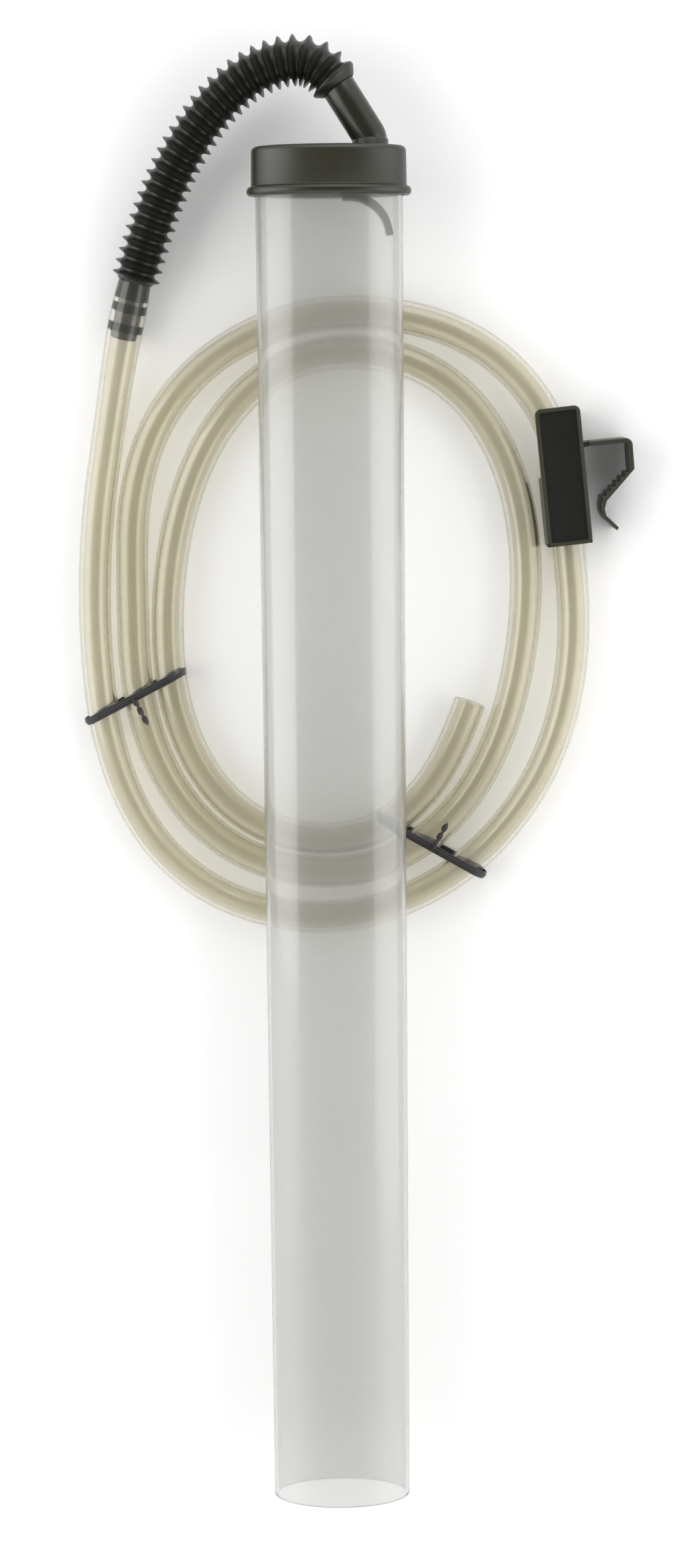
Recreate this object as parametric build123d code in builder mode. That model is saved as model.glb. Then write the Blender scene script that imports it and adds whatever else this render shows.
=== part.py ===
"""Gravel vacuum siphon for an aquarium, lying on a table with its clear hose coiled under the tube.

Millimetres, +Z up. The origin is the centre of the gravel tube's open mouth, and the tube's axis
runs along +Y from the mouth to the cap. The table is at TABLE_Z, one hose thickness under the tube.
"""

import os
from math import copysign, cos, pi, radians, sin, tan

from build123d import *

os.makedirs("parts", exist_ok=True)

# ---- driving dimensions ----
GAP = 0.3  # clearance between pieces that move apart

TUBE_LENGTH = 591.0
TUBE_WIDTH = 61.6
TUBE_DEPTH = 32.0
TUBE_WALL = 1.6

CAP_Y = 577.5  # lower edge of the cap's bead
CAP_HEIGHT = 20.0
CAP_WIDTH = 65.0
CAP_DEPTH = 35.4
CAP_TOP = 2.7  # thickness of the top plate
CAP_ROUND = 2.2
BEAD_WIDTH = 68.8
BEAD_DEPTH = 39.2
BEAD_HEIGHT = 3.6
BEAD_ROUND = 1.65

SPOUT_X = 17.4  # the outlet stands off-centre
SPOUT_OD = 14.2
SPOUT_ID = 10.6
SPOUT_FOOT_OD = 15.8
SPOUT_FOOT_HEIGHT = 3.0
SPOUT_FOOT_BITE = 0.4  # how far the foot ring reaches into the spout's wall
SPOUT_STUB = 3.4  # from the cap's top to the corner of the bend
SPOUT_BEND = (SPOUT_X, CAP_Y + CAP_HEIGHT + SPOUT_STUB, 0)
SPOUT_BEND_RADIUS = 7.5
SPOUT_END = (1.4, 626.0, 0)
SPOUT_TAIL = 3.0  # how far the spout's lower end stands inside the cap

GUARD_CENTRE = (8.0, 560.0)
GUARD_RADIUS = 18.4
GUARD_THICKNESS = 2.6
GUARD_DEPTH = 19.0
GUARD_STEM_X = 6.8  # the upright strip that the tongue hangs from
GUARD_BRIDGE_DEPTH = 8.0  # the web between that strip and the ring
GUARD_RING_WALL = 1.8
GUARD_RING_HEIGHT = 2.4
GUARD_SLOT_WIDTH = 2.6
GUARD_SLOT_LENGTH = 13.0
GUARD_SLOT_X = 20.2
GUARD_SLOT_PITCH = 5.2
GUARD_GAP = 0.8  # to the tube's wall
GUARD_END_ANGLE = 4.0  # where the tongue stops, by the tube's wall

HOSE_OD = 14.0
HOSE_ID = 10.5
TABLE_Z = -(TUBE_DEPTH / 2 + GAP + HOSE_OD)
HOSE_Z = TABLE_Z + HOSE_OD / 2

RIBBED_OD = 21.0  # over the crests of the corrugated hose
CONNECTOR_OD = 11.4
CONNECTOR_ID = 7.6
CONNECTOR_BACK = 12.0  # into the corrugated hose
CONNECTOR_AHEAD = 24.5  # into the clear hose
BARB_OD = 12.6
BARB_COUNT = 4
BARB_START = 4.2
BARB_PITCH = 5.2
BARB_LENGTH = 2.86
BARB_TAPER = 10  # degrees

COIL_CENTRE = (2.0, 403.0)
COIL_HALF_WIDTH = 106.0
COIL_HALF_HEIGHT = 139.0
COIL_TILT = -6.5  # the oval leans to the right
COIL_PITCH = 15.2  # how much closer in each turn lies
COIL_SQUARENESS = 2.2  # 2 is an ellipse, more is squarer
COIL_START = 540  # degrees from +X, where the inner turns begin
COIL_END = 1040
COIL_STEP = 20

HOSE_END_LENGTH = 34.0
HOSE_BORE_DEPTH = 30.0  # the rest of the stub is closed, like the turns it joins
HOSE_END_CHORD = 15  # degrees of the coil that set the free end's direction
HOSE_END_LEAN = 8.0  # degrees that it then turns in from the turn beside it

CLIP_PLACE = (100.3, 454.0)  # on the straight stretch of the outermost turn
CLIP_TILT = 6.0
CLIP_HEIGHT = 17.4
SADDLE_RADIUS = HOSE_OD / 2 + GAP
SADDLE_LOW = -24.0  # the saddle's ends along the hose
SADDLE_HIGH = 5.0
SADDLE_INNER = -9.5  # the saddle's inner face, across the hose
SADDLE_SLOT = 9.0  # the gap under the saddle that the hose is pressed through
BACK_FACE = 9.8  # the back wall's outer face
BACK_WALL = 2.4
PLATE_LOW = -24.0
PLATE_HIGH = 35.2
PLATE_THICKNESS = 2.8
PLATE_CORNER = 2.6
RIM_WIDTH = 1.6
RIM_HEIGHT = 1.2
JAW_THICKNESS = 2.0
JAW_ROOT = 12.0
JAW_TOP = 19.2
JAW_CORNER = (31.0, 18.8)  # local X and Y in the clip's plane, as for the points below
JAW_CORNER_ROUND = 3.0
JAW_SHOULDER = (30.8, 5.4)
JAW_NECK_OUTSIDE = [(17.6, -7.0), (16.4, -10.2), (16.8, -13.2)]
JAW_LIP = [(21.7, -18.8), (20.9, -20.1)]
JAW_NECK_INSIDE = [(15.9, -14.4), (14.9, -11.8), (14.9, -8.4)]
TOOTH_COUNT = 6
TOOTH_START = (28.9, 4.4)
TOOTH_END = (15.8, -6.6)
JAW_INNER_CORNER = (29.2, 16.9)

TIE_WIDTH = 3.4
TIE_THICKNESS = 0.8
TIE_ROUND = 6.5
TIE_TAIL = 13.0
TIE_TAIL_WIDTH = 2.4
TIE_TAIL_HEIGHT = 2.0
TIES = {  # the inner turns' angle, and the place on the outermost turn
    "hose_tie_left": (199, (-103.0, 357.0)),
    "hose_tie_right": (297, (60.0, 286.5)),
}


def across(y):
    """A sketch plane square to the tube, with its normal along +Y."""
    return Plane(origin=(0, y, 0), x_dir=(1, 0, 0), z_dir=(0, 1, 0))


def corner_radii(points):
    """The largest even arc at each corner of a route: 0.45 of the shorter run on each side."""
    radii = []
    for before, here, after in zip(points, points[1:], points[2:]):
        run_in = Vector(here) - Vector(before)
        run_out = Vector(after) - Vector(here)
        half_turn = radians(run_in.get_angle(run_out)) / 2
        radii.append(0.45 * min(run_in.length, run_out.length) / tan(half_turn))
    return radii


def report_route(name, points, part, section_area):
    """Print a route's bend radii, and its solid's volume against section times length."""
    path_length = part.volume / section_area
    print(name, "radii", [round(r, 1) for r in corner_radii(points)], "length", round(path_length, 1))


def spiral(angle, offset=0.0):
    """A point of the coil's centreline, a squared oval that shrinks by one pitch a turn."""
    shrink = COIL_PITCH * (angle - 180) / 360 - offset
    c, s = cos(radians(angle)), sin(radians(angle))
    x = (COIL_HALF_WIDTH - shrink) * copysign(abs(c) ** (2 / COIL_SQUARENESS), c)
    y = (COIL_HALF_HEIGHT - shrink) * copysign(abs(s) ** (2 / COIL_SQUARENESS), s)
    lean_c, lean_s = cos(radians(COIL_TILT)), sin(radians(COIL_TILT))
    return (COIL_CENTRE[0] + x * lean_c - y * lean_s, COIL_CENTRE[1] + x * lean_s + y * lean_c)


def clip_plane(height=0.0):
    """The clip's own plane: local X away from the hose, local Y along it, on the table."""
    axis_x = Vector(1, 0, 0).rotate(Axis.Z, CLIP_TILT)
    return Plane(origin=(*CLIP_PLACE, TABLE_Z + height), x_dir=axis_x, z_dir=(0, 0, 1))


# ---- gravel tube: oval, straight, open at both ends ----
with BuildPart() as gravel_tube:
    with BuildSketch(across(0)):
        Ellipse(TUBE_WIDTH / 2, TUBE_DEPTH / 2)
        Ellipse(TUBE_WIDTH / 2 - TUBE_WALL, TUBE_DEPTH / 2 - TUBE_WALL, mode=Mode.SUBTRACT)
    extrude(amount=TUBE_LENGTH)
gravel_tube.part.label = "gravel_tube"
export_step(gravel_tube.part, "parts/gravel_tube.step")

# ---- cap: oval skirt with a rolled bead, and a hole for the outlet in its top plate ----
CAP_END = CAP_Y + CAP_HEIGHT
with BuildPart() as cap:
    with BuildSketch(across(CAP_Y)):
        Ellipse(CAP_WIDTH / 2, CAP_DEPTH / 2)
    extrude(amount=CAP_HEIGHT)
    fillet(cap.edges().group_by(Axis.Y)[-1], CAP_ROUND)
    with BuildSketch(across(CAP_Y)):
        Ellipse(BEAD_WIDTH / 2, BEAD_DEPTH / 2)
    extrude(amount=BEAD_HEIGHT)
    bead_edges = cap.edges().filter_by(
        lambda edge: abs(edge.bounding_box().size.X - BEAD_WIDTH) < GAP
    )
    fillet(bead_edges, BEAD_ROUND)
    with BuildSketch(across(CAP_Y)):
        Ellipse(TUBE_WIDTH / 2 + GAP, TUBE_DEPTH / 2 + GAP)
    extrude(amount=CAP_HEIGHT - CAP_TOP, mode=Mode.SUBTRACT)
    with BuildSketch(across(CAP_Y)):
        with Locations((SPOUT_X, 0)):
            Circle(SPOUT_OD / 2)
    extrude(amount=CAP_HEIGHT, mode=Mode.SUBTRACT)
cap.part.label = "cap"
export_step(cap.part, "parts/cap.step")

# ---- outlet spout: a stub through the top plate, a foot ring, and a tube leaning to the middle ----
SPOUT_BOTTOM = CAP_END - CAP_TOP - SPOUT_TAIL
with BuildPart() as outlet_spout:
    with BuildLine() as spout_path:
        FilletPolyline((SPOUT_X, SPOUT_BOTTOM, 0), SPOUT_BEND, SPOUT_END, radius=SPOUT_BEND_RADIUS)
    with BuildSketch(across(SPOUT_BOTTOM)):
        with Locations((SPOUT_X, 0)):
            Circle(SPOUT_OD / 2)
            Circle(SPOUT_ID / 2, mode=Mode.SUBTRACT)
    sweep(path=spout_path.line)
    with BuildSketch(across(CAP_END)):
        with Locations((SPOUT_X, 0)):
            Circle(SPOUT_FOOT_OD / 2)
            Circle(SPOUT_OD / 2 - SPOUT_FOOT_BITE, mode=Mode.SUBTRACT)
    extrude(amount=SPOUT_FOOT_HEIGHT)
outlet_spout.part.label = "outlet_spout"
export_step(outlet_spout.part, "parts/outlet_spout.step")

# ---- gravel guard: a ring on the spout's lower end, and a slotted tongue curving under it ----
GUARD_TOP = CAP_END - CAP_TOP - GAP
STEM_BOTTOM = GUARD_CENTRE[1] + GUARD_RADIUS - GUARD_THICKNESS
STEM_LEFT = GUARD_STEM_X - GUARD_THICKNESS / 2
with BuildPart() as gravel_guard:
    with BuildSketch(Plane.XY.offset(-GUARD_DEPTH / 2)):
        with BuildLine():
            outer = CenterArc(GUARD_CENTRE, GUARD_RADIUS, GUARD_END_ANGLE, 90 - GUARD_END_ANGLE)
            inner = CenterArc(
                GUARD_CENTRE, GUARD_RADIUS - GUARD_THICKNESS, GUARD_END_ANGLE, 90 - GUARD_END_ANGLE
            )
            Line(outer @ 0, inner @ 0)
            Line(outer @ 1, inner @ 1)
        make_face()
        with Locations((GUARD_STEM_X, (STEM_BOTTOM + GUARD_TOP) / 2)):
            Rectangle(GUARD_THICKNESS, GUARD_TOP - STEM_BOTTOM)
    extrude(amount=GUARD_DEPTH)
    with BuildSketch(across(GUARD_TOP - GUARD_RING_HEIGHT)):
        with Locations((SPOUT_X, 0)):
            Circle(SPOUT_OD / 2 + GUARD_RING_WALL)
        with Locations(((SPOUT_X + STEM_LEFT) / 2, 0)):
            Rectangle(SPOUT_X - STEM_LEFT, GUARD_BRIDGE_DEPTH)
        with Locations((SPOUT_X, 0)):
            Circle(SPOUT_OD / 2, mode=Mode.SUBTRACT)
    extrude(amount=GUARD_RING_HEIGHT)
    with BuildSketch(across(GUARD_CENTRE[1])):
        with Locations(*[(GUARD_SLOT_X, row * GUARD_SLOT_PITCH) for row in (-1, 0, 1)]):
            SlotOverall(GUARD_SLOT_LENGTH, GUARD_SLOT_WIDTH)
    extrude(amount=GUARD_RADIUS + GUARD_THICKNESS, mode=Mode.SUBTRACT)
    with BuildSketch(across(GUARD_CENTRE[1])):
        Ellipse(TUBE_WIDTH / 2 - TUBE_WALL - GUARD_GAP, TUBE_DEPTH / 2 - TUBE_WALL - GUARD_GAP)
    extrude(amount=2 * GUARD_RADIUS, mode=Mode.INTERSECT)
gravel_guard.part.label = "gravel_guard"
export_step(gravel_guard.part, "parts/gravel_guard.step")

# ---- corrugated hose: a plain solid over its crests, from the spout down to the table ----
RIBBED_ROUTE = [
    (4.3, 621.5, 0),
    (-3.4, 632.0, -0.4),
    (-20.3, 632.8, -2.6),
    (-41.3, 622.3, -6.8),
    (-61.6, 598.2, -12.2),
    (-76.3, 567.0, -17.0),
    (-83.4, 543.6, -19.3),
]
with BuildPart() as corrugated_hose:
    with BuildLine() as ribbed_path:
        FilletPolyline(*RIBBED_ROUTE, radius=corner_radii(RIBBED_ROUTE))
    with BuildSketch(Plane(origin=RIBBED_ROUTE[0], z_dir=ribbed_path.line % 0)):
        Circle(RIBBED_OD / 2)
    sweep(path=ribbed_path.line)
corrugated_hose.part.label = "corrugated_hose"
export_step(corrugated_hose.part, "parts/corrugated_hose.step")
report_route("corrugated_hose", RIBBED_ROUTE, corrugated_hose.part, pi * RIBBED_OD**2 / 4)

# ---- hose connector: a plain spigot into the corrugated hose, ring barbs into the clear hose ----
HOSE_START = Vector(RIBBED_ROUTE[-1])
LEAD_TARGET = Vector(-89.4, 519.4, -22.0)
LEAD_DIRECTION = (LEAD_TARGET - HOSE_START).normalized()
CONNECTOR_START = HOSE_START - LEAD_DIRECTION * CONNECTOR_BACK
with BuildPart() as hose_connector:
    with BuildSketch(Plane(origin=CONNECTOR_START, z_dir=LEAD_DIRECTION)):
        Circle(CONNECTOR_OD / 2)
    extrude(amount=CONNECTOR_BACK + CONNECTOR_AHEAD)
    for barb in range(BARB_COUNT):
        barb_start = HOSE_START + LEAD_DIRECTION * (BARB_START + barb * BARB_PITCH)
        with BuildSketch(Plane(origin=barb_start, z_dir=LEAD_DIRECTION)):
            Circle(BARB_OD / 2)
        extrude(amount=BARB_LENGTH, taper=BARB_TAPER)
    with BuildSketch(Plane(origin=CONNECTOR_START, z_dir=LEAD_DIRECTION)):
        Circle(CONNECTOR_ID / 2)
    extrude(amount=CONNECTOR_BACK + CONNECTOR_AHEAD, mode=Mode.SUBTRACT)
hose_connector.part.label = "hose_connector"
export_step(hose_connector.part, "parts/hose_connector.step")

# ---- clear hose: the lead off the connector and the outermost turn, counter-clockwise ----
LEAD_ROUTE = [
    tuple(HOSE_START),
    (-89.6, 518.6, -22.2),
    (-96.4, 482.0, HOSE_Z),
    (-103.2, 440.0, HOSE_Z),
    (-105.4, 392.0, HOSE_Z),
    (-100.8, 342.0, HOSE_Z),
    (-84.6, 302.0, HOSE_Z),
    (-57.0, 276.0, HOSE_Z),
    (-22.0, 264.0, HOSE_Z),
    (14.0, 265.0, HOSE_Z),
    (48.0, 279.0, HOSE_Z),
    (76.6, 304.0, HOSE_Z),
    (98.0, 340.0, HOSE_Z),
    (107.2, 388.0, HOSE_Z),
    (97.8, 477.5, HOSE_Z),
    (81.0, 504.0, HOSE_Z),
    (55.0, 522.5, HOSE_Z),
    (20.0, 531.0, HOSE_Z),
    (-18.0, 528.5, HOSE_Z),
    (-52.0, 512.6, HOSE_Z),
    (-76.0, 486.0, HOSE_Z),
    (-87.0, 452.0, HOSE_Z),
    (*spiral(COIL_START), HOSE_Z),
]
with BuildPart() as hose_lead:
    with BuildLine() as lead_path:
        FilletPolyline(*LEAD_ROUTE, radius=corner_radii(LEAD_ROUTE))
    with BuildSketch(Plane(origin=LEAD_ROUTE[0], z_dir=lead_path.line % 0)):
        Circle(HOSE_OD / 2)
    sweep(path=lead_path.line)
hose_lead.part.label = "hose_lead"
export_step(hose_lead.part, "parts/hose_lead.step")
report_route("hose_lead", LEAD_ROUTE, hose_lead.part, pi * HOSE_OD**2 / 4)

# ---- inner turns: one closed solid of the coil's outer shape, stepped where the hose comes in ----
HALF_HOSE = HOSE_OD / 2
COIL_LAST = COIL_START + 360
with BuildPart() as hose_coil:
    with BuildSketch(Plane.XY.offset(TABLE_Z)):
        with BuildLine():
            outside = Spline(*[spiral(a, HALF_HOSE) for a in range(COIL_START, COIL_LAST + 1, COIL_STEP)])
            Line(outside @ 0, outside @ 1)
        make_face()
        with BuildLine():
            early = Spline(*[spiral(a, -HALF_HOSE) for a in range(COIL_END - 360, COIL_LAST + 1, COIL_STEP)])
            late = Spline(*[spiral(a, -HALF_HOSE) for a in range(COIL_LAST, COIL_END + 1, COIL_STEP)])
            Line(late @ 1, early @ 0)
        make_face(mode=Mode.SUBTRACT)
    extrude(amount=HOSE_OD)
hose_coil.part.label = "hose_coil"
export_step(hose_coil.part, "parts/hose_coil.step")
coil_points = [Vector(*spiral(a)) for a in range(COIL_START, COIL_END + 1, 2)]
coil_length = sum((b - a).length for a, b in zip(coil_points, coil_points[1:]))
print("inner turns length", round(coil_length, 1))

# ---- the hose's open end: a short straight stretch with a real bore ----
END_START = Vector(*spiral(COIL_END), HOSE_Z)
END_CHORD = (Vector(*spiral(COIL_END + HOSE_END_CHORD), HOSE_Z) - END_START).normalized()
END_DIRECTION = END_CHORD.rotate(Axis.Z, HOSE_END_LEAN)
END_MOUTH = END_START + END_DIRECTION * HOSE_END_LENGTH
with BuildPart() as hose_end:
    with BuildSketch(Plane(origin=END_START, z_dir=END_DIRECTION)):
        Circle(HOSE_OD / 2)
    extrude(amount=HOSE_END_LENGTH)
    with BuildSketch(Plane(origin=END_MOUTH, z_dir=-END_DIRECTION)):
        Circle(HOSE_ID / 2)
    extrude(amount=HOSE_BORE_DEPTH, mode=Mode.SUBTRACT)
hose_end.part.label = "hose_end"
export_step(hose_end.part, "parts/hose_end.step")
print("hose end from", END_START, "along", END_DIRECTION, "to", END_MOUTH)

# ---- twist ties: flat bands round the turns, with a twisted tail on top ----
for tie_name, (tie_angle, tie_place) in TIES.items():
    outermost = Vector(*tie_place)
    innermost = Vector(*spiral(tie_angle + 720))
    outward = (outermost - innermost).normalized()
    tie_middle = (outermost + innermost) * 0.5
    tie_span = (outermost - innermost).length + HOSE_OD
    along_hose = Vector(outward.Y, -outward.X, 0)
    tie_foot = Vector(tie_middle.X, tie_middle.Y, TABLE_Z)
    tie_plane = Plane(origin=tie_foot - along_hose * (TIE_WIDTH / 2), x_dir=outward, z_dir=along_hose)
    with BuildPart() as hose_tie:
        with BuildSketch(tie_plane):
            with Locations((0, (HOSE_OD + TIE_THICKNESS) / 2)):
                RectangleRounded(tie_span + 2 * TIE_THICKNESS, HOSE_OD + TIE_THICKNESS, TIE_ROUND)
                RectangleRounded(
                    tie_span, HOSE_OD - TIE_THICKNESS, TIE_ROUND - TIE_THICKNESS, mode=Mode.SUBTRACT
                )
        extrude(amount=TIE_WIDTH)
        with BuildSketch(Plane(origin=tie_foot, x_dir=outward, z_dir=(0, 0, 1)).offset(HOSE_OD)):
            with Locations((0, (TIE_TAIL - TIE_WIDTH) / 2)):
                Rectangle(TIE_TAIL_WIDTH, TIE_TAIL)
        extrude(amount=TIE_TAIL_HEIGHT)
    hose_tie.part.label = tie_name
    export_step(hose_tie.part, f"parts/{tie_name}.step")

# ---- bucket clip body: saddle on the hose, back wall, thumb plate with a raised rim ----
CLIP_U = clip_plane().x_dir
CLIP_V = clip_plane().y_dir


def clip_section(v):
    """A sketch plane square to the hose at the clip, with its local Y up and its normal along -V."""
    return Plane(origin=clip_plane().from_local_coords((0, v, 0)), x_dir=CLIP_U, z_dir=-CLIP_V)


PLATE_LENGTH = PLATE_HIGH - PLATE_LOW
PLATE_WIDTH = BACK_FACE - SADDLE_INNER
PLATE_MIDDLE = ((BACK_FACE + SADDLE_INNER) / 2, (PLATE_HIGH + PLATE_LOW) / 2)
with BuildPart() as clip_body:
    with BuildSketch(clip_section(SADDLE_HIGH)):
        with Locations((PLATE_MIDDLE[0], CLIP_HEIGHT / 2)):
            Rectangle(PLATE_WIDTH, CLIP_HEIGHT)
        with Locations((0, HOSE_OD / 2)):
            Circle(SADDLE_RADIUS, mode=Mode.SUBTRACT)
        Rectangle(SADDLE_SLOT, HOSE_OD / 2, mode=Mode.SUBTRACT)
    extrude(amount=SADDLE_HIGH - SADDLE_LOW)
    with BuildSketch(clip_plane()):
        with Locations((BACK_FACE - BACK_WALL / 2, (PLATE_HIGH - PLATE_CORNER + PLATE_LOW) / 2)):
            Rectangle(BACK_WALL, PLATE_LENGTH - PLATE_CORNER)
        with Locations(((BACK_FACE + JAW_ROOT) / 2, JAW_TOP - JAW_THICKNESS / 2)):
            Rectangle(JAW_ROOT - BACK_FACE, JAW_THICKNESS)
    extrude(amount=CLIP_HEIGHT)
    with BuildSketch(clip_plane(CLIP_HEIGHT - PLATE_THICKNESS)):
        with Locations(PLATE_MIDDLE):
            RectangleRounded(PLATE_WIDTH, PLATE_LENGTH, PLATE_CORNER)
    extrude(amount=PLATE_THICKNESS)
    with BuildSketch(clip_plane(CLIP_HEIGHT)):
        with Locations(PLATE_MIDDLE):
            RectangleRounded(PLATE_WIDTH, PLATE_LENGTH, PLATE_CORNER)
            RectangleRounded(
                PLATE_WIDTH - 2 * RIM_WIDTH,
                PLATE_LENGTH - 2 * RIM_WIDTH,
                PLATE_CORNER - RIM_WIDTH,
                mode=Mode.SUBTRACT,
            )
    extrude(amount=RIM_HEIGHT)
    with BuildSketch(clip_section(PLATE_HIGH)):
        with Locations((0, HOSE_OD / 2)):
            Circle(SADDLE_RADIUS)
    extrude(amount=PLATE_LENGTH, mode=Mode.SUBTRACT)
clip_body.part.label = "clip_body"
export_step(clip_body.part, "parts/clip_body.step")

# ---- bucket clip jaw: a springy strip that folds down to a toothed bite and a flared lip ----
tooth_run = ((TOOTH_END[0] - TOOTH_START[0]) / TOOTH_COUNT, (TOOTH_END[1] - TOOTH_START[1]) / TOOTH_COUNT)
teeth = []
for tooth in range(TOOTH_COUNT):
    tooth_u = TOOTH_START[0] + tooth * tooth_run[0]
    tooth_v = TOOTH_START[1] + tooth * tooth_run[1]
    teeth += [(tooth_u, tooth_v), (tooth_u + tooth_run[0], tooth_v)]
with BuildPart() as clip_jaw:
    with BuildSketch(clip_plane()):
        with BuildLine():
            Polyline(
                (JAW_ROOT + GAP, JAW_TOP),
                JAW_CORNER,
                JAW_SHOULDER,
                *JAW_NECK_OUTSIDE,
                *JAW_LIP,
                *JAW_NECK_INSIDE,
                TOOTH_END,
                *reversed(teeth),
                JAW_INNER_CORNER,
                (JAW_ROOT + GAP, JAW_TOP - JAW_THICKNESS),
                close=True,
            )
        make_face()
    extrude(amount=CLIP_HEIGHT)
    upright = clip_jaw.edges().filter_by(Axis.Z)
    corner = clip_plane().from_local_coords((*JAW_CORNER, 0))
    fillet(upright.sort_by_distance(corner)[0], JAW_CORNER_ROUND)
clip_jaw.part.label = "clip_jaw"
export_step(clip_jaw.part, "parts/clip_jaw.step")
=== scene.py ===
"""Aquarium gravel vacuum: clear oval tube, capped, with ribbed and coiled clear hoses and a bucket clip.

Metres. The tube's axis runs along +Y from its open mouth at the origin to the cap, and +Z is up.
"""
import math

import bpy
from mathutils import Euler, Matrix, Vector


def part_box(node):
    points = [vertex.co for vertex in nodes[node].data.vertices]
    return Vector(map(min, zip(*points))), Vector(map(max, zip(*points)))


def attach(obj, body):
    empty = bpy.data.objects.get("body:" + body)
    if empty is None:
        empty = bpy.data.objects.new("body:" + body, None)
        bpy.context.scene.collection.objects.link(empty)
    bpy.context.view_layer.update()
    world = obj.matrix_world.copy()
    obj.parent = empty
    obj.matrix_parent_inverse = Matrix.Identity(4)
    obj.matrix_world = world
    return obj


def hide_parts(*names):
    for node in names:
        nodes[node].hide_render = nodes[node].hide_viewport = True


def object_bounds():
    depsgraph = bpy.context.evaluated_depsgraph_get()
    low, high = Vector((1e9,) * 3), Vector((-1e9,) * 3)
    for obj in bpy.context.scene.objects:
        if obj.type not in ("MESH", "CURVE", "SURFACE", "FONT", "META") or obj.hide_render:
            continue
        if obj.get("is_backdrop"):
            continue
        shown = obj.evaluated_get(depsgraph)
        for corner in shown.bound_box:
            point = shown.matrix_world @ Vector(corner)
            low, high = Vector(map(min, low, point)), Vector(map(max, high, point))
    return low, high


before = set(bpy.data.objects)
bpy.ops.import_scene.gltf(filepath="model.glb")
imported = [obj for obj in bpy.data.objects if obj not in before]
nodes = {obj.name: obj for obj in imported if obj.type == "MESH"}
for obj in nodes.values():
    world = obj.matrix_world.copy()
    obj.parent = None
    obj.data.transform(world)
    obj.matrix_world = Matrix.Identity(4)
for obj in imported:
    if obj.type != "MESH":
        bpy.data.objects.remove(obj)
cad_low, cad_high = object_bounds()

# ---- Camera ----
# Above the cap end of the tube, tipped back towards the mouth, so the mouth shows as a thin oval.
camera_data = bpy.data.cameras.new("studio_camera")
camera_data.sensor_fit = "VERTICAL"
camera_data.sensor_height = 36
camera_data.lens = 56.16
camera_data.clip_start = 0.05
camera = bpy.data.objects.new("studio_camera", camera_data)
camera.location = (0.0039, 0.5093, 1.047)
camera.rotation_euler = (
    Matrix.Rotation(math.radians(-9.80), 3, "X") @ Matrix.Rotation(math.radians(-0.56), 3, "Z")
).to_euler()
bpy.context.scene.collection.objects.link(camera)
bpy.context.scene.camera = camera

# ---- Studio ----
# A wide pale sheet under the siphon, a bright even surround that is dimmer straight overhead, and large
# soft lights low on both sides and behind.
TABLE_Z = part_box("hose_coil")[0].z


def plain_shader(material):
    """The Principled shader of a new node material."""
    material.use_nodes = True
    return material.node_tree.nodes["Principled BSDF"]


bpy.ops.object.select_all(action="DESELECT")
bpy.ops.mesh.primitive_plane_add(size=12, location=(0, 0.3, TABLE_Z - 0.0002))
floor = bpy.context.object
floor.name = "studio_floor"
floor_paint = bpy.data.materials.new("studio_floor_paint")
plain_shader(floor_paint).inputs["Base Color"].default_value = (0.94, 0.94, 0.94, 1)
plain_shader(floor_paint).inputs["Roughness"].default_value = 0.9
floor.data.materials.append(floor_paint)
floor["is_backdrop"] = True

world = bpy.data.worlds.new("studio_surround")
world.use_nodes = True
surround = world.node_tree
way = surround.nodes.new("ShaderNodeTexCoord")
axes = surround.nodes.new("ShaderNodeSeparateXYZ")
fade = surround.nodes.new("ShaderNodeMapRange")
fade.interpolation_type = "SMOOTHSTEP"
for setting, value in (("From Min", 0.55), ("From Max", 0.95), ("To Min", 1.35), ("To Max", 0.25)):
    fade.inputs[setting].default_value = value
surround.links.new(way.outputs["Generated"], axes.inputs["Vector"])
surround.links.new(axes.outputs["Z"], fade.inputs["Value"])
surround.nodes["Background"].inputs["Color"].default_value = (1, 1, 1, 1)
surround.links.new(fade.outputs["Result"], surround.nodes["Background"].inputs["Strength"])
bpy.context.scene.world = world

for light_name, place, size, power in (
    ("key_light", (-1.8, 0.6, 1.1), 1.8, 20),
    ("fill_light", (1.8, 0.3, 1.0), 1.8, 11),
    ("back_light", (0.3, 2.4, 1.3), 1.6, 10),
):
    light_data = bpy.data.lights.new(light_name, "AREA")
    light_data.size = size
    light_data.energy = power
    light = bpy.data.objects.new(light_name, light_data)
    light.location = place
    light.rotation_euler = (Vector((0, 0.35, 0)) - Vector(place)).to_track_quat("-Z", "Y").to_euler()
    bpy.context.scene.collection.objects.link(light)
bpy.context.scene.view_settings.view_transform = "Standard"

# ---- Corrugated hose ----
# Black blow-moulded polyethylene that bends without kinking: sharp ring ribs on a thin wall, with a
# thicker end rib that pushes over the outlet. One rib is shaped, repeated, and bent along the route.
RIBBED_ROUTE = (
    (0.0043, 0.6215, 0.0),
    (-0.0034, 0.6320, -0.0004),
    (-0.0203, 0.6328, -0.0026),
    (-0.0413, 0.6223, -0.0068),
    (-0.0616, 0.5982, -0.0122),
    (-0.0763, 0.5670, -0.0170),
    (-0.0834, 0.5436, -0.0193),
)
RIB_COUNT = 29
RIB_CREST = 0.0105
RIB_ROOT = 0.0074
RIBBED_WALL = 0.0008
RIBBED_SIDES = 48
CUFF_LENGTH = 0.0058


def route_curve(name, points, steps):
    """A hose's centreline: one open spline of order 3 that starts and ends on its end points."""
    data = bpy.data.curves.new(name, "CURVE")
    data.dimensions = "3D"
    data.resolution_u = steps
    spline = data.splines.new("NURBS")
    spline.points.add(len(points) - 1)
    for point, place in zip(spline.points, points):
        point.co = (*place, 1)
    spline.order_u = 3
    spline.use_endpoint_u = True
    curve = bpy.data.objects.new(name, data)
    bpy.context.scene.collection.objects.link(curve)
    return curve


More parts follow.
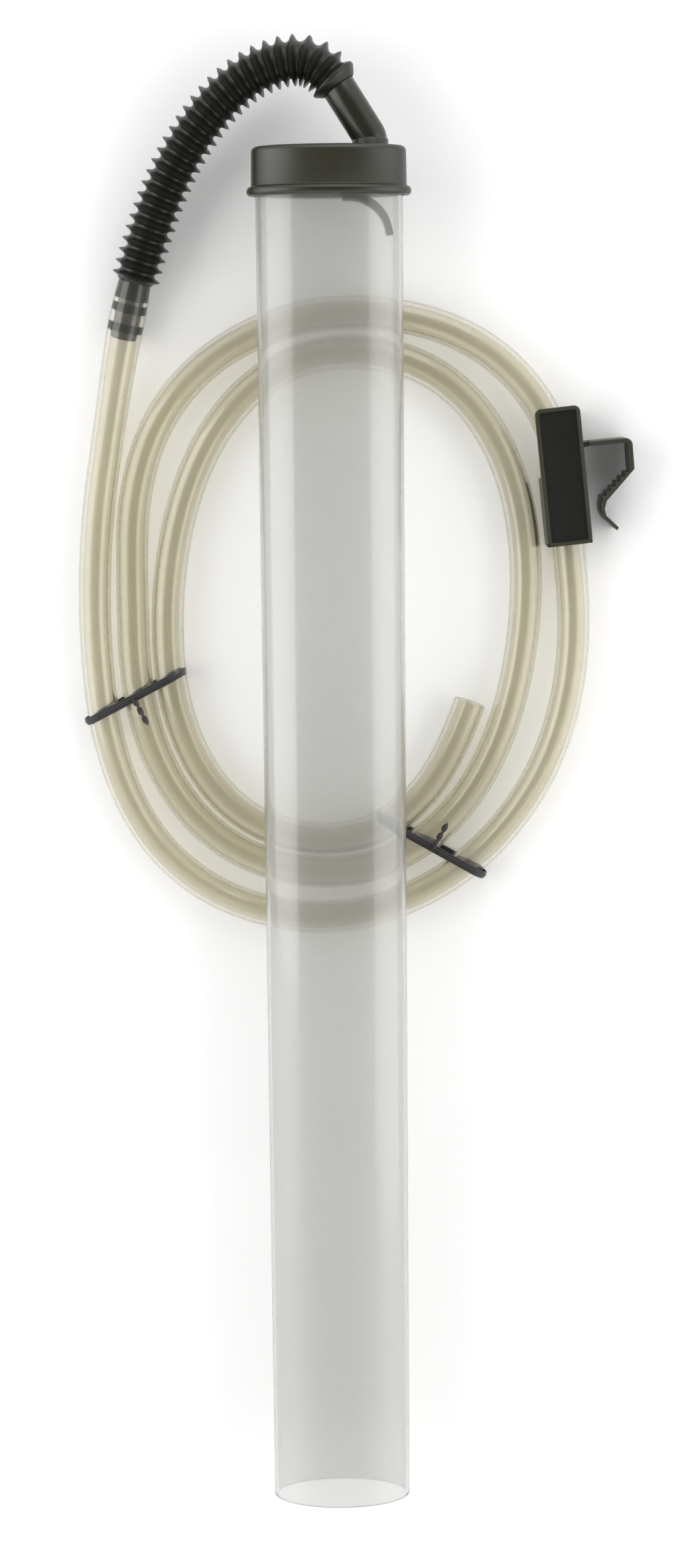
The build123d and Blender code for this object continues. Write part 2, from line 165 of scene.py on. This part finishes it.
def line_along(curve):
    """The points of a centreline, read from its spline."""
    bpy.context.view_layer.update()
    mesh = bpy.data.meshes.new_from_object(curve)
    points = [v.co.copy() for v in mesh.vertices]
    bpy.data.meshes.remove(mesh)
    return points


def length_of(points):
    return sum((b - a).length for a, b in zip(points, points[1:]))


def only(*objects):
    """Select these objects and nothing else, the last one active."""
    bpy.ops.object.select_all(action="DESELECT")
    for o in objects:
        o.select_set(True)
    bpy.context.view_layer.objects.active = objects[-1]


def start_ring(name, half_width, half_depth, along, count):
    """A loop of points round +Y, left selected in edit mode for grow_ring to carry on."""
    bpy.ops.object.select_all(action="DESELECT")
    bpy.ops.mesh.primitive_circle_add(
        vertices=count, radius=1, location=(0, along, 0), rotation=(math.pi / 2, 0, 0)
    )
    piece = bpy.context.object
    piece.name = name
    piece.scale = (half_width, half_depth, 1)
    bpy.ops.object.transform_apply(location=True, rotation=True, scale=True)
    bpy.ops.object.mode_set(mode="EDIT")
    bpy.ops.mesh.select_all(action="SELECT")
    return piece


def grow_rings(first, rings):
    """Extrude the selected loop through (along, half width, half depth) rings, starting from first."""
    before = first
    for ring in rings:
        bpy.ops.mesh.extrude_region_move(TRANSFORM_OT_translate={"value": (0, ring[0] - before[0], 0)})
        bpy.ops.transform.resize(
            value=(ring[1] / before[1], 1, ring[2] / before[2]), center_override=(0, ring[0], 0)
        )
        before = ring


def turned(name, profile, count):
    """A piece turned about +Y from a profile of (along, radius) points, left in object mode."""
    rings = [(along, radius, radius) for along, radius in profile]
    piece = start_ring(name, rings[0][1], rings[0][2], rings[0][0], count)
    grow_rings(rings[0], rings[1:])
    bpy.ops.object.mode_set(mode="OBJECT")
    return piece


def finish_modifier(piece, kind, **settings):
    """Add one modifier with these settings and apply it."""
    only(piece)
    modifier = piece.modifiers.new(kind.lower(), kind)
    for key, value in settings.items():
        setattr(modifier, key, value)
    bpy.ops.object.modifier_apply(modifier=modifier.name)


def weld(piece, reach=1e-5):
    """Merge doubled points and turn every face outwards."""
    only(piece)
    bpy.ops.object.mode_set(mode="EDIT")
    bpy.ops.mesh.select_all(action="SELECT")
    bpy.ops.mesh.remove_doubles(threshold=reach)
    bpy.ops.mesh.normals_make_consistent(inside=False)
    bpy.ops.object.mode_set(mode="OBJECT")


def smooth(piece, degrees=35):
    only(piece)
    bpy.ops.object.shade_smooth_by_angle(angle=math.radians(degrees))


ribbed_curve = route_curve("ribbed_route", RIBBED_ROUTE, 24)
ribbed_line = line_along(ribbed_curve)
rib_pitch = (length_of(ribbed_line) - CUFF_LENGTH) / RIB_COUNT
rib = [
    (0.0, RIB_ROOT),
    (0.12, RIB_ROOT + 0.0001),
    (0.28, RIB_ROOT + 0.0009),
    (0.45, RIB_CREST - 0.0004),
    (0.50, RIB_CREST),
    (0.55, RIB_CREST - 0.0004),
    (0.72, RIB_ROOT + 0.0009),
    (0.88, RIB_ROOT + 0.0001),
    (1.0, RIB_ROOT),
]
corrugated = turned(
    "corrugated_hose_ribs", [(CUFF_LENGTH + share * rib_pitch, r) for share, r in rib], RIBBED_SIDES
)
finish_modifier(
    corrugated,
    "ARRAY",
    count=RIB_COUNT,
    use_relative_offset=False,
    use_constant_offset=True,
    constant_offset_displace=(0, rib_pitch, 0),
    use_merge_vertices=True,
    merge_threshold=0.0001,
)
cuff = turned(
    "corrugated_hose_cuff",
    [
        (0.0, RIB_ROOT + 0.0004),
        (0.0003, RIB_ROOT + 0.0009),
        (0.0026, RIB_CREST - 0.0003),
        (0.0031, RIB_CREST),
        (0.0038, RIB_CREST),
        (0.0042, RIB_CREST - 0.0004),
        (0.0052, RIB_ROOT + 0.0008),
        (CUFF_LENGTH, RIB_ROOT),
    ],
    RIBBED_SIDES,
)
only(cuff, corrugated)
bpy.ops.object.join()
weld(corrugated)
finish_modifier(corrugated, "SOLIDIFY", thickness=RIBBED_WALL, offset=-1)
finish_modifier(corrugated, "CURVE", object=ribbed_curve, deform_axis="POS_Y")
smooth(corrugated, 50)
bpy.data.objects.remove(ribbed_curve)


def grain_group():
    """Fine moulding grain with slow shade drift: a colour, a roughness and a height."""
    group = bpy.data.node_groups.new("moulding_grain", "ShaderNodeTree")
    for socket_name, kind, value in (
        ("Dark", "NodeSocketColor", (0.02, 0.02, 0.02, 1)),
        ("Light", "NodeSocketColor", (0.04, 0.04, 0.04, 1)),
        ("Drift Scale", "NodeSocketFloat", 25.0),
        ("Grain Scale", "NodeSocketFloat", 2500.0),
        ("Roughness", "NodeSocketFloat", 0.4),
        ("Roughness Spread", "NodeSocketFloat", 0.1),
    ):
        group.interface.new_socket(socket_name, in_out="INPUT", socket_type=kind).default_value = value
    for socket_name, kind in (
        ("Color", "NodeSocketColor"),
        ("Roughness", "NodeSocketFloat"),
        ("Height", "NodeSocketFloat"),
    ):
        group.interface.new_socket(socket_name, in_out="OUTPUT", socket_type=kind)
    entry = group.nodes.new("NodeGroupInput")
    leave = group.nodes.new("NodeGroupOutput")
    place = group.nodes.new("ShaderNodeTexCoord")
    drift = group.nodes.new("ShaderNodeTexNoise")
    grain = group.nodes.new("ShaderNodeTexNoise")
    drift.inputs["Detail"].default_value = 4
    grain.inputs["Detail"].default_value = 2
    shade = group.nodes.new("ShaderNodeMix")
    shade.data_type = "RGBA"
    spread = group.nodes.new("ShaderNodeMath")
    spread.operation = "MULTIPLY_ADD"
    link = group.links.new
    for noise, scale in ((drift, "Drift Scale"), (grain, "Grain Scale")):
        link(place.outputs["Object"], noise.inputs["Vector"])
        link(entry.outputs[scale], noise.inputs["Scale"])
    link(drift.outputs["Fac"], shade.inputs["Factor"])
    link(entry.outputs["Dark"], shade.inputs["A"])
    link(entry.outputs["Light"], shade.inputs["B"])
    link(drift.outputs["Fac"], spread.inputs[0])
    link(entry.outputs["Roughness Spread"], spread.inputs[1])
    link(entry.outputs["Roughness"], spread.inputs[2])
    link(shade.outputs["Result"], leave.inputs["Color"])
    link(spread.outputs["Value"], leave.inputs["Roughness"])
    link(grain.outputs["Fac"], leave.inputs["Height"])
    return group


MOULDING_GRAIN = grain_group()


def moulded_plastic(name, dark, light, roughness, spread, bump, shine=0.4, grain_scale=2500, drift_scale=25):
    """An opaque moulded plastic that takes its colour, roughness and grain from the shared group."""
    material = bpy.data.materials.new(name)
    shader = plain_shader(material)
    tree = material.node_tree
    grain = tree.nodes.new("ShaderNodeGroup")
    grain.node_tree = MOULDING_GRAIN
    shader.inputs["Specular IOR Level"].default_value = shine
    grain.inputs["Dark"].default_value = (*dark, 1)
    grain.inputs["Light"].default_value = (*light, 1)
    grain.inputs["Roughness"].default_value = roughness
    grain.inputs["Roughness Spread"].default_value = spread
    grain.inputs["Grain Scale"].default_value = grain_scale
    grain.inputs["Drift Scale"].default_value = drift_scale
    bump_node = tree.nodes.new("ShaderNodeBump")
    bump_node.inputs["Strength"].default_value = bump
    bump_node.inputs["Distance"].default_value = 0.0001
    tree.links.new(grain.outputs["Color"], shader.inputs["Base Color"])
    tree.links.new(grain.outputs["Roughness"], shader.inputs["Roughness"])
    tree.links.new(grain.outputs["Height"], bump_node.inputs["Height"])
    tree.links.new(bump_node.outputs["Normal"], shader.inputs["Normal"])
    return material


def paint(piece, material):
    """Give a piece its one material."""
    piece.data.materials.clear()
    piece.data.materials.append(material)


paint(
    corrugated,
    moulded_plastic("black_polyethylene", (0.007, 0.008, 0.005), (0.014, 0.015, 0.009), 0.26, 0.14, 0.25),
)
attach(corrugated, "cap_and_hose")
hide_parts("corrugated_hose")


# ---- Hose connector ----
# Black moulded polypropylene: a plain spigot pressed back into the ribbed hose, a collar, and a stem with
# saw-tooth ring barbs that the clear hose is pushed over.
CONNECTOR_RADIUS = 0.0054
CONNECTOR_BORE = 0.0040
CONNECTOR_BACK = 0.012
CONNECTOR_AHEAD = 0.0245
COLLAR_RADIUS = 0.0061
COLLAR_LENGTH = 0.0074
BARB_RADIUS = 0.0063
BARB_TAPER = 0.0048
BARB_FEET = (0.0093, 0.0177)
CONNECTOR_SIDES = 40
HOSE_START = Vector(RIBBED_ROUTE[-1])
LEAD_TARGET = Vector((-0.0894, 0.5194, -0.0220))

barbs = []
for barb_foot in BARB_FEET:
    barbs += [
        (barb_foot, CONNECTOR_RADIUS),
        (barb_foot + 0.0002, BARB_RADIUS),
        (barb_foot + 0.0014, BARB_RADIUS),
        (barb_foot + BARB_TAPER, CONNECTOR_RADIUS + 0.0003),
    ]
connector = turned(
    "hose_connector_barbs",
    [
        (-CONNECTOR_BACK, CONNECTOR_BORE),
        (-CONNECTOR_BACK, CONNECTOR_RADIUS - 0.0004),
        (-CONNECTOR_BACK + 0.0004, CONNECTOR_RADIUS),
        (-0.0004, CONNECTOR_RADIUS),
        (0.0, COLLAR_RADIUS),
        (COLLAR_LENGTH, COLLAR_RADIUS),
        (COLLAR_LENGTH + 0.0003, CONNECTOR_RADIUS),
        *barbs,
        (CONNECTOR_AHEAD - 0.0004, CONNECTOR_RADIUS + 0.0002),
        (CONNECTOR_AHEAD, CONNECTOR_RADIUS - 0.0002),
        (CONNECTOR_AHEAD, CONNECTOR_BORE),
        (-CONNECTOR_BACK, CONNECTOR_BORE),
    ],
    CONNECTOR_SIDES,
)
weld(connector)
connector.rotation_mode = "QUATERNION"
connector.rotation_quaternion = Vector((0, 1, 0)).rotation_difference(LEAD_TARGET - HOSE_START)
connector.location = HOSE_START
only(connector)
bpy.ops.object.transform_apply(location=True, rotation=True, scale=True)
smooth(connector)
CONNECTOR_BLACK = moulded_plastic(
    "black_polypropylene", (0.003, 0.004, 0.002), (0.009, 0.010, 0.006), 0.26, 0.12, 0.3, 0.25
)
paint(connector, CONNECTOR_BLACK)
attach(connector, "cap_and_hose")
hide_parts("hose_connector")

# ---- Clear hose ----
# Extruded soft clear vinyl with a straw tint, 14 mm outside and 10.5 mm inside, 1.8 m long. It leaves the
# connector, stretched over its barbs, runs round the outermost turn, and winds inwards to its cut end.
HOSE_RADIUS = 0.0070
HOSE_WALL = 0.00175
HOSE_Z = TABLE_Z + HOSE_RADIUS
STRETCH = (0.99, 1.13, 1.09, 0.98)
LEAD_ROUTE = (
    (-0.0834, 0.5436, -0.0193),
    (-0.0863, 0.5320, -0.0206),
    (-0.0896, 0.5186, -0.0222),
    (-0.0964, 0.4820, HOSE_Z),
    (-0.1032, 0.4400, HOSE_Z),
    (-0.1054, 0.3920, HOSE_Z),
    (-0.1008, 0.3420, HOSE_Z),
    (-0.0846, 0.3020, HOSE_Z),
    (-0.0570, 0.2760, HOSE_Z),
    (-0.0220, 0.2640, HOSE_Z),
    (0.0140, 0.2650, HOSE_Z),
    (0.0480, 0.2790, HOSE_Z),
    (0.0766, 0.3040, HOSE_Z),
    (0.0980, 0.3400, HOSE_Z),
    (0.1072, 0.3880, HOSE_Z),
    (0.1011, 0.4463, HOSE_Z),
    (0.0978, 0.4775, HOSE_Z),
    (0.0810, 0.5040, HOSE_Z),
    (0.0550, 0.5225, HOSE_Z),
    (0.0200, 0.5310, HOSE_Z),
    (-0.0180, 0.5285, HOSE_Z),
    (-0.0520, 0.5126, HOSE_Z),
    (-0.0760, 0.4860, HOSE_Z),
    (-0.0870, 0.4520, HOSE_Z),
)
COIL_CENTRE = (0.0020, 0.4030)
COIL_HALF_WIDTH = 0.106
COIL_HALF_HEIGHT = 0.139
COIL_TILT = math.radians(-6.5)
COIL_PITCH = 0.0152
COIL_SQUARENESS = 2.2
COIL_START, COIL_END, COIL_STEP = 540, 1040, 20
END_LENGTH = 0.034
END_CHORD = 15
END_LEAN = 8
END_SETTLE = 0.006
CURVE_STEPS = 28


def spiral(angle):
    """A point of the coil's centreline, a squared oval that shrinks by one pitch a turn."""
    shrink = COIL_PITCH * (angle - 180) / 360
    c, s = math.cos(math.radians(angle)), math.sin(math.radians(angle))
    x = (COIL_HALF_WIDTH - shrink) * math.copysign(abs(c) ** (2 / COIL_SQUARENESS), c)
    y = (COIL_HALF_HEIGHT - shrink) * math.copysign(abs(s) ** (2 / COIL_SQUARENESS), s)
    return Vector(
        (
            COIL_CENTRE[0] + x * math.cos(COIL_TILT) - y * math.sin(COIL_TILT),
            COIL_CENTRE[1] + x * math.sin(COIL_TILT) + y * math.cos(COIL_TILT),
            HOSE_Z,
        )
    )


end_start = spiral(COIL_END)
end_way = (spiral(COIL_END + END_CHORD) - end_start).normalized()
end_way.rotate(Euler((0, 0, math.radians(END_LEAN))))
turns = [spiral(angle) for angle in range(COIL_START, COIL_END, COIL_STEP)]
hose_route = [*LEAD_ROUTE, *turns, end_start + end_way * END_SETTLE, end_start + end_way * END_LENGTH]
clear_hose = route_curve("clear_hose", hose_route, CURVE_STEPS)
hose_line = line_along(clear_hose)
for point, stretch in zip(clear_hose.data.splines[0].points, STRETCH):
    point.radius = stretch
clear_hose.data.bevel_depth = HOSE_RADIUS
clear_hose.data.bevel_resolution = 6
only(clear_hose)
bpy.ops.object.convert(target="MESH")
weld(clear_hose)
finish_modifier(clear_hose, "SOLIDIFY", thickness=HOSE_WALL, offset=-1)
smooth(clear_hose)


def clear_plastic(name, tint, haze, roughness, ior, drift_scale, drift):
    """See-through plastic: haze is the share that scatters instead of passing light through."""
    material = bpy.data.materials.new(name)
    shader = plain_shader(material)
    tree = material.node_tree
    link = tree.links.new
    shader.inputs["Transmission Weight"].default_value = 1 - haze
    shader.inputs["IOR"].default_value = ior
    place = tree.nodes.new("ShaderNodeTexCoord")
    noise = tree.nodes.new("ShaderNodeTexNoise")
    noise.inputs["Scale"].default_value = drift_scale
    noise.inputs["Detail"].default_value = 3
    link(place.outputs["Object"], noise.inputs["Vector"])
    shade = tree.nodes.new("ShaderNodeMix")
    shade.data_type = "RGBA"
    shade.inputs["A"].default_value = (*(c * (1 - drift) for c in tint), 1)
    shade.inputs["B"].default_value = (*(min(1, c * (1 + drift)) for c in tint), 1)
    link(noise.outputs["Fac"], shade.inputs["Factor"])
    link(shade.outputs["Result"], shader.inputs["Base Color"])
    rough = tree.nodes.new("ShaderNodeMath")
    rough.operation = "MULTIPLY_ADD"
    rough.inputs[1].default_value = roughness
    rough.inputs[2].default_value = roughness * 0.5
    link(noise.outputs["Fac"], rough.inputs[0])
    link(rough.outputs["Value"], shader.inputs["Roughness"])
    lamp_rays = tree.nodes.new("ShaderNodeLightPath")
    clear = tree.nodes.new("ShaderNodeBsdfTransparent")
    clear.inputs["Color"].default_value = (*(0.5 + 0.5 * c for c in tint), 1)
    either = tree.nodes.new("ShaderNodeMixShader")
    link(lamp_rays.outputs["Is Shadow Ray"], either.inputs["Fac"])
    link(shader.outputs["BSDF"], either.inputs[1])
    link(clear.outputs["BSDF"], either.inputs[2])
    link(either.outputs["Shader"], tree.nodes["Material Output"].inputs["Surface"])
    return material


STRAW_VINYL = clear_plastic(
    "straw_vinyl", tint=(0.79, 0.77, 0.68), haze=0.03, roughness=0.08, ior=1.50, drift_scale=30, drift=0.04
)
paint(clear_hose, STRAW_VINYL)
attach(clear_hose, "cap_and_hose")
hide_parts("hose_lead", "hose_coil", "hose_end")

# ---- Twist ties ----
# Two plastic-coated wire ties that hold the turns side by side: a flat band with a round wire down its
# middle, drawn tight round the hose and closed by a twisted tail.
TIE_RADIUS = HOSE_RADIUS + 0.0002
TIE_THICKNESS = 0.0005
TIE_HALF_HEIGHT = 0.0074
TIE_HALF_WIDTH = 0.0017
TIE_EDGE = 0.0001
WIRE_HALF_WIDTH = 0.0005
WIRE_RISE = 0.0003
TIE_SIDES = 36
TAIL_SIZE = (0.0024, 0.013, 0.0008)
TAIL_LIFT = 0.0004
TAIL_CUTS = 31
TIE_TWISTS = 3


def twist_tie(node, angle, outermost):
    """One tie round the outermost turn and the two inside it, with its tail along the hose."""
    inner = spiral(angle + 720)
    outer = Vector((*outermost, HOSE_Z))
    outward = (outer - inner).normalized()
    half_span = (outer - inner).length / 2
    band = turned(
        node + "_band",
        [
            (-TIE_HALF_WIDTH, TIE_RADIUS + TIE_EDGE),
            (-TIE_HALF_WIDTH + TIE_EDGE, TIE_RADIUS),
            (-WIRE_HALF_WIDTH, TIE_RADIUS),
            (-WIRE_HALF_WIDTH + WIRE_RISE, TIE_RADIUS + WIRE_RISE),
            (WIRE_HALF_WIDTH - WIRE_RISE, TIE_RADIUS + WIRE_RISE),
            (WIRE_HALF_WIDTH, TIE_RADIUS),
            (TIE_HALF_WIDTH - TIE_EDGE, TIE_RADIUS),
            (TIE_HALF_WIDTH, TIE_RADIUS + TIE_EDGE),
        ],
        TIE_SIDES,
    )
    for v in band.data.vertices:
        v.co.x += math.copysign(half_span, v.co.x) if abs(v.co.x) > 1e-6 else 0
    weld(band)
    finish_modifier(band, "SOLIDIFY", thickness=TIE_THICKNESS, offset=1)
    band.scale = (1, 1, 2 * TIE_HALF_HEIGHT / band.dimensions.z)
    bpy.ops.object.transform_apply(location=False, rotation=False, scale=True)
    bpy.ops.mesh.primitive_cube_add(size=1, location=(0, TAIL_SIZE[1] / 2, TIE_HALF_HEIGHT + TAIL_LIFT))
    tail = bpy.context.object
    tail.scale = TAIL_SIZE
    bpy.ops.object.transform_apply(location=False, rotation=False, scale=True)
    bpy.ops.object.mode_set(mode="EDIT")
    bpy.ops.mesh.select_all(action="SELECT")
    bpy.ops.mesh.subdivide(number_cuts=TAIL_CUTS)
    bpy.ops.object.mode_set(mode="OBJECT")
    finish_modifier(
        tail, "SIMPLE_DEFORM", deform_method="TWIST", deform_axis="Y", angle=2 * math.pi * TIE_TWISTS / 2
    )
    bpy.ops.object.transform_apply(location=True, rotation=True, scale=True)
    only(tail, band)
    bpy.ops.object.join()
    band.name = node + "_wire"
    band.rotation_euler = (0, 0, math.atan2(outward.y, outward.x))
    band.location = (outer + inner) / 2
    band.location.z = TABLE_Z + TIE_HALF_HEIGHT
    bpy.ops.object.transform_apply(location=True, rotation=True, scale=True)
    smooth(band)
    return band


TIE_COATING = moulded_plastic("tie_coating", (0.016, 0.016, 0.017), (0.035, 0.035, 0.036), 0.34, 0.1, 0.2)
for tie_node, tie_angle, tie_place in (
    ("hose_tie_left", 199, (-0.103, 0.357)),
    ("hose_tie_right", 297, (0.060, 0.2865)),
):
    tie = twist_tie(tie_node, tie_angle, tie_place)
    paint(tie, TIE_COATING)
    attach(tie, "cap_and_hose")
    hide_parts(tie_node)

# ---- Gravel tube ----
# Extruded clear rigid plastic with a faint smoky haze, an oval that reaches into corners, cut square
# at both ends with the sharp edge taken off.
TUBE_WALL = 0.0016
TUBE_EDGE = 0.00025
TUBE_END_BAND = 0.010
OVAL_SIDES = 128
tube_low, tube_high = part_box("gravel_tube")
tube_wide, tube_deep = tube_high.x, tube_high.z
tube = start_ring("oval_tube", tube_wide - TUBE_EDGE, tube_deep - TUBE_EDGE, tube_low.y, OVAL_SIDES)
grow_rings(
    (tube_low.y, tube_wide - TUBE_EDGE, tube_deep - TUBE_EDGE),
    [
        (tube_low.y + TUBE_EDGE, tube_wide, tube_deep),
        (tube_low.y + TUBE_END_BAND, tube_wide, tube_deep),
        (tube_high.y / 2, tube_wide, tube_deep),
        (tube_high.y - TUBE_END_BAND, tube_wide, tube_deep),
        (tube_high.y - TUBE_EDGE, tube_wide, tube_deep),
        (tube_high.y, tube_wide - TUBE_EDGE, tube_deep - TUBE_EDGE),
        (tube_high.y, tube_wide - TUBE_WALL + TUBE_EDGE, tube_deep - TUBE_WALL + TUBE_EDGE),
        (tube_high.y - TUBE_EDGE, tube_wide - TUBE_WALL, tube_deep - TUBE_WALL),
        (tube_high.y / 2, tube_wide - TUBE_WALL, tube_deep - TUBE_WALL),
        (tube_low.y + TUBE_END_BAND, tube_wide - TUBE_WALL, tube_deep - TUBE_WALL),
        (tube_low.y + TUBE_EDGE, tube_wide - TUBE_WALL, tube_deep - TUBE_WALL),
        (tube_low.y, tube_wide - TUBE_WALL + TUBE_EDGE, tube_deep - TUBE_WALL + TUBE_EDGE),
        (tube_low.y, tube_wide - TUBE_EDGE, tube_deep - TUBE_EDGE),
    ],
)
bpy.ops.object.mode_set(mode="OBJECT")
weld(tube)
smooth(tube)
SMOKY_CLEAR = clear_plastic(
    "smoky_clear_plastic", tint=(0.75, 0.75, 0.737), haze=0.06, roughness=0.12, ior=1.47, drift_scale=12, drift=0.02
)
paint(tube, SMOKY_CLEAR)
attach(tube, "tube")
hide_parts("gravel_tube")

# ---- Cap ----
# One black satin moulding that pushes over the tube: an oval skirt with a rounded shoulder, a rolled bead
# round its mouth, and a top plate that the outlet stands on.
CAP_PLATE = 0.0027
CAP_ROUND = 0.0022
BEAD_OUT = 0.0019
BEAD_TALL = 0.0036
TUBE_CLEARANCE = 0.0003
MOUTH_LEAD_IN = 0.0006
PLATE_CENTRE = 0.001
cap_low, cap_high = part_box("cap")
bead_wide, bead_deep = cap_high.x, cap_high.z
skirt_wide, skirt_deep = bead_wide - BEAD_OUT, bead_deep - BEAD_OUT
mouth_wide, mouth_deep = tube_wide + TUBE_CLEARANCE, tube_deep + TUBE_CLEARANCE
cap_top, cap_foot = cap_high.y, cap_low.y


def cap_ring(along, out):
    """A ring of the cap, out from the skirt's face by this much."""
    return (along, skirt_wide + out, skirt_deep + out)


plate_under = cap_top - CAP_PLATE
rings = [(plate_under, PLATE_CENTRE, PLATE_CENTRE), (plate_under, mouth_wide, mouth_deep)]
rings += [(cap_foot + 0.0008, mouth_wide, mouth_deep)]
rings += [(cap_foot, mouth_wide + MOUTH_LEAD_IN, mouth_deep + MOUTH_LEAD_IN)]
rings += [
    cap_ring(cap_foot + BEAD_TALL * (0.5 - 0.5 * math.cos(turn)), BEAD_OUT * (0.35 + 0.65 * math.sin(turn)))
    for turn in (math.pi * step / 8 for step in range(9))
]
rings += [cap_ring(cap_foot + BEAD_TALL + 0.0003, 0.0002), cap_ring(cap_foot + BEAD_TALL + 0.0008, 0)]
rings += [cap_ring(cap_top - CAP_ROUND, -0.0002)]
rings += [
    cap_ring(cap_top - CAP_ROUND * (1 - math.sin(turn)), -0.0002 - CAP_ROUND * (1 - math.cos(turn)))
    for turn in (math.pi / 2 * step / 5 for step in range(1, 6))
]
rings += [(cap_top, 0.012, 0.006), (cap_top, PLATE_CENTRE, PLATE_CENTRE)]
cap = start_ring("oval_cap", rings[0][1], rings[0][2], rings[0][0], OVAL_SIDES)
grow_rings(rings[0], rings[1:])
bpy.ops.object.mode_set(mode="OBJECT")
weld(cap)
smooth(cap)
CAP_SATIN = moulded_plastic(
    "satin_cap_plastic", (0.003, 0.003, 0.0), (0.014, 0.014, 0.001), 0.27, 0.12, 0.5, 0.65, 3200, 60
)
paint(cap, CAP_SATIN)
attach(cap, "cap_and_hose")
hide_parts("cap")

# ---- Outlet spout ----
# A glossy black moulded tube: a short thicker stub stands on the cap's top plate, then the tube leans back
# over the middle of the cap and runs into the ribbed hose's cuff.
SPOUT_X = 0.0174
SPOUT_RADIUS = 0.0071
SPOUT_WALL = 0.0018
SPOUT_STUB = 0.0034
SPOUT_BEND = 0.0072
SPOUT_TAIL = 0.0055
SPOUT_TIP = Vector((0.0014, 0.6260, 0))
FOOT_RADIUS = 0.0076
FOOT_TALL = 0.0032
SPOUT_SIDES = 48
BEND_STEPS = 8
bend_corner = Vector((SPOUT_X, cap_top + SPOUT_STUB, 0))
lean_way = SPOUT_TIP - bend_corner
lean = math.atan2(-lean_way.x, lean_way.y)
tangent = SPOUT_BEND * math.tan(lean / 2)
bend_start = bend_corner.y - tangent
lean_length = lean_way.length - tangent
lean_way.normalize()

spout = start_ring("outlet_tube", SPOUT_RADIUS, SPOUT_RADIUS, cap_top - SPOUT_TAIL, SPOUT_SIDES)
grow_rings((cap_top - SPOUT_TAIL, SPOUT_RADIUS, SPOUT_RADIUS), [(bend_start, SPOUT_RADIUS, SPOUT_RADIUS)])
bpy.ops.mesh.spin(steps=BEND_STEPS, angle=-lean, center=(-SPOUT_BEND, bend_start, 0), axis=(0, 0, 1))
for share in (0.5, 0.48, 0.02):
    bpy.ops.mesh.extrude_region_move(TRANSFORM_OT_translate={"value": lean_way * lean_length * share})
tip = SPOUT_TIP - Vector((SPOUT_X, 0, 0))
bpy.ops.transform.resize(value=(0.95, 0.95, 0.95), center_override=tip)
bpy.ops.object.mode_set(mode="OBJECT")
weld(spout)
finish_modifier(spout, "SOLIDIFY", thickness=SPOUT_WALL, offset=-1)
foot = turned(
    "outlet_foot",
    [
        (cap_top - 0.0002, SPOUT_RADIUS - 0.0002),
        (cap_top - 0.0002, FOOT_RADIUS + 0.0003),
        (cap_top + 0.0003, FOOT_RADIUS),
        (cap_top + FOOT_TALL - 0.0008, FOOT_RADIUS),
        (cap_top + FOOT_TALL - 0.0002, FOOT_RADIUS - 0.0004),
        (cap_top + FOOT_TALL, SPOUT_RADIUS - 0.0002),
        (cap_top - 0.0002, SPOUT_RADIUS - 0.0002),
    ],
    SPOUT_SIDES,
)
weld(foot)
only(foot, spout)
bpy.ops.object.join()
spout.location = (SPOUT_X, 0, 0)
bpy.ops.object.transform_apply(location=True, rotation=True, scale=True)
smooth(spout)
GLOSS_BLACK = moulded_plastic(
    "gloss_black_plastic", (0.007, 0.008, 0.003), (0.016, 0.017, 0.008), 0.20, 0.10, 0.15, 0.5
)
paint(spout, GLOSS_BLACK)
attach(spout, "cap_and_hose")
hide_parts("outlet_spout")

# ---- Gravel guard and bucket clip ----
# Black injection mouldings with sharp-cornered outlines: the slotted tongue that keeps gravel out of the
# outlet, the clip's body that snaps on the hose, and its springy toothed jaw. Each takes the design's own
# outline, and its edges are rounded as a mould leaves them.
BEVEL_ANGLE = math.radians(30)
SHADED_RECESS_DEPTH = 0.0012
SHADED_RECESS_REACH = 0.0003


def moulding(node, name, round_edge, body, material):
    """A moulded piece with a CAD node's outline and softly rounded edges, standing for that node."""
    piece = bpy.data.objects.new(name, nodes[node].data.copy())
    bpy.context.scene.collection.objects.link(piece)
    weld(piece)
    bpy.ops.object.mode_set(mode="EDIT")
    bpy.ops.mesh.select_all(action="SELECT")
    bpy.ops.mesh.dissolve_limited(angle_limit=math.radians(1))
    bpy.ops.object.mode_set(mode="OBJECT")
    finish_modifier(
        piece, "BEVEL", width=round_edge, segments=2, limit_method="ANGLE", angle_limit=BEVEL_ANGLE
    )
    smooth(piece)
    paint(piece, material)
    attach(piece, body)
    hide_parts(node)
    return piece


CLIP_BLACK = moulded_plastic(
    "clip_black_plastic", (0.022, 0.023, 0.013), (0.040, 0.041, 0.026), 0.32, 0.12, 0.3
)
# A deeper black. On the gravel guard it is the guard's own colour. On the clip body's recessed face it is painted
# shade standing in for the shadow inside the recess.
DEEP_BLACK_AND_RECESS_SHADE = moulded_plastic(
    "guard_black_and_painted_recess_shade", (0.004, 0.004, 0.004), (0.009, 0.010, 0.006), 0.42, 0.12, 0.3, 0.25
)
moulding("gravel_guard", "gravel_guard_tongue", 0.0003, "cap_and_hose", DEEP_BLACK_AND_RECESS_SHADE)
clip_body = moulding("clip_body", "bucket_clip_body", 0.0003, "clip", CLIP_BLACK)
# The clip body's upward faces at the recess depth get the deeper black, as painted shade in the recess.
clip_body.data.materials.append(DEEP_BLACK_AND_RECESS_SHADE)
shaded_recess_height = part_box("clip_body")[1].z - SHADED_RECESS_DEPTH
for face in clip_body.data.polygons:
    if face.normal.z > 0.99 and abs(face.center.z - shaded_recess_height) < SHADED_RECESS_REACH:
        face.material_index = 1
moulding("clip_jaw", "bucket_clip_jaw", 0.00025, "jaw", CLIP_BLACK)

size = {"cad": [list(cad_low), list(cad_high)]}
low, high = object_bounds()
size["visual"] = [list(low), list(high)]
